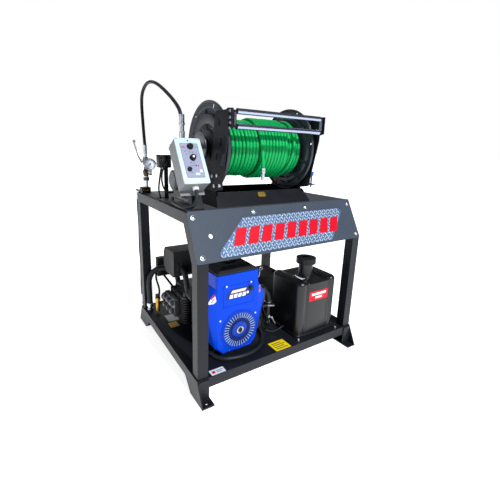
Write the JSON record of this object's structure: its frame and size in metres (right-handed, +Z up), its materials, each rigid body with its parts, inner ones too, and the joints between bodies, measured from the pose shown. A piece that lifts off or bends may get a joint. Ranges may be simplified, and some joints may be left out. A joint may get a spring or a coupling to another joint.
{
  "type": "skid-mounted pressure washer",
  "caption": "Steel-framed pressure washer skid with an engine-driven pump and fuel tank on the tray and a powered hose reel with controls on the deck.",
  "frame": {"origin": "on the ground at the centre of the four foot bolt holes", "axes": "+Z up, front with the sloping fascia towards -Y, fuel tank towards +X"},
  "size_m": [0.994, 0.936, 1.4343],
  "materials": {
    "frame_paint": "fine textured powder coat",
    "badge_plate": "bright tread pattern",
    "engine_blue": "gloss paint",
    "engine_alloy": "dark cast alloy",
    "pump_black": "painted casting",
    "pump_alloy": "forged and machined",
    "shaft_steel": "machined",
    "cast_grey": "as cast",
    "black_cover": "moulded",
    "muffler_black": "heat resistant matt",
    "brass": "machined",
    "black_plastic": "moulded",
    "tank_plastic": "semi-matt moulded",
    "reel_black": "satin powder coat",
    "reel_grey": "satin powder coat",
    "green_hose": "smooth cover",
    "black_hose": "smooth cover",
    "zinc": "bright zinc plate",
    "roller_chrome": "polished",
    "pin_blue": "anodised head",
    "box_grey": "moulded",
    "gland_white": "moulded",
    "gauge_steel": "polished rim",
    "needle_black": "matt"
  },
  "bodies": {
    "frame": {"base_tray": "frame_paint", "mounting_feet": "frame_paint", "frame_tubes": "frame_paint", "deck_plate": "frame_paint", "fascia_plate": "frame_paint", "fascia_badge": "badge_plate", "blower_housing": "engine_blue", "fan_guard": "engine_blue", "crankcase": "engine_alloy", "cylinders": "engine_alloy", "carburettor": "engine_alloy", "starter_motor": "engine_alloy", "gearbox": "pump_black", "pump_body": "pump_black", "pump_head": "pump_alloy", "drive_chain": "shaft_steel", "axle_bearings": "shaft_steel", "swivel_inlet": "shaft_steel", "air_cleaner": "black_cover", "contactor": "black_cover", "muffler": "muffler_black", "unloader_body": "brass", "battery": "black_plastic", "fuel_tank": "tank_plastic", "reel_base": "reel_black", "side_frames": "reel_black", "box_bracket": "reel_black", "drive_motor": "reel_black", "jumper_hose": "black_hose", "outlet_hose": "black_hose", "bypass_hose": "black_hose", "drain_hose": "black_hose", "control_conduit": "black_hose", "bolts": "zinc", "roller_brackets": "zinc", "plated_fittings": "zinc", "ball_valve": "zinc", "control_box": "box_grey", "conduit_gland": "gland_white", "gauge_case": "gauge_steel"},
    "crankshaft": {"crankshaft": "shaft_steel", "flywheel_fan": "cast_grey"},
    "drum": {"drum_core": "reel_grey", "drum_discs": "reel_grey", "drum_sprocket": "shaft_steel", "wound_hose": "green_hose", "hose_end_fitting": "zinc"},
    "motor_pinion": {"motor_sprocket": "shaft_steel"},
    "top_roller": {"top_roller": "roller_chrome"},
    "bottom_roller": {"bottom_roller": "roller_chrome"},
    "left_roller": {"left_roller": "roller_chrome"},
    "right_roller": {"right_roller": "roller_chrome"},
    "lock_pin": {"lock_pin": "pin_blue"},
    "mode_knob": {"mode_knob": "black_plastic"},
    "speed_knob": {"speed_knob": "black_plastic"},
    "direction_knob": {"direction_knob": "black_plastic"},
    "gauge_needle": {"gauge_needle": "needle_black"},
    "valve_lever": {"valve_lever": "zinc"},
    "unloader_knob": {"unloader_knob": "black_plastic"},
    "filler_cap": {"filler_cap": "tank_plastic"}
  },
  "joints": [
    {"name": "crank_spin", "type": "hinge", "parent": "frame", "child": "crankshaft", "pos_m": [-0.227, -0.298, 0.245], "axis": [0, 1, 0], "continuous": true},
    {"name": "drum_spin", "type": "hinge", "parent": "frame", "child": "drum", "pos_m": [-0.049, -0.101, 1.107], "axis": [1, 0, 0], "continuous": true},
    {"name": "motor_spin", "type": "hinge", "parent": "frame", "child": "motor_pinion", "pos_m": [-0.331, 0.022, 0.945], "axis": [1, 0, 0], "continuous": true},
    {"name": "top_roller_spin", "type": "hinge", "parent": "frame", "child": "top_roller", "pos_m": [-0.049, -0.346, 1.25], "axis": [1, 0, 0], "continuous": true},
    {"name": "bottom_roller_spin", "type": "hinge", "parent": "frame", "child": "bottom_roller", "pos_m": [-0.049, -0.346, 1.191], "axis": [1, 0, 0], "continuous": true},
    {"name": "left_roller_spin", "type": "hinge", "parent": "frame", "child": "left_roller", "pos_m": [-0.291, -0.346, 1.22], "axis": [0, 0, 1], "continuous": true},
    {"name": "right_roller_spin", "type": "hinge", "parent": "frame", "child": "right_roller", "pos_m": [0.193, -0.346, 1.22], "axis": [0, 0, 1], "continuous": true},
    {"name": "lock_pin_lift", "type": "slide", "parent": "frame", "child": "lock_pin", "axis": [0, 0, 1], "range_m": [0, 0.045]},
    {"name": "mode_knob_turn", "type": "hinge", "parent": "frame", "child": "mode_knob", "pos_m": [-0.433, -0.22118, 1.10644], "axis": [0, -0.8536, 0.521], "range_deg": [-60, 60]},
    {"name": "speed_knob_turn", "type": "hinge", "parent": "frame", "child": "speed_knob", "pos_m": [-0.433, -0.24879, 1.0612], "axis": [0, -0.8536, 0.521], "range_deg": [-150, 150]},
    {"name": "direction_knob_turn", "type": "hinge", "parent": "frame", "child": "direction_knob", "pos_m": [-0.459, -0.2764, 1.01596], "axis": [0, -0.8536, 0.521], "range_deg": [-45, 45]},
    {"name": "gauge_needle_turn", "type": "hinge", "parent": "frame", "child": "gauge_needle", "pos_m": [-0.44206, 0.3033, 1.009], "axis": [0.5299, 0.848, 0], "range_deg": [0, 270]},
    {"name": "valve_lever_turn", "type": "hinge", "parent": "frame", "child": "valve_lever", "pos_m": [-0.467, 0.352, 1.024], "axis": [-1, 0, 0], "range_deg": [0, 90]},
    {"name": "unloader_knob_turn", "type": "hinge", "parent": "frame", "child": "unloader_knob", "pos_m": [-0.437, 0.272, 0.224], "axis": [0, 0, 1], "range_deg": [-180, 180]},
    {"name": "filler_cap_turn", "type": "hinge", "parent": "frame", "child": "filler_cap", "pos_m": [0.248, -0.266, 0.5], "axis": [0, 0, 1], "range_deg": [0, 360]}
  ],
  "couplings": [
    {"joint": "motor_spin", "follows": "drum_spin", "ratio": 3}
  ]
}
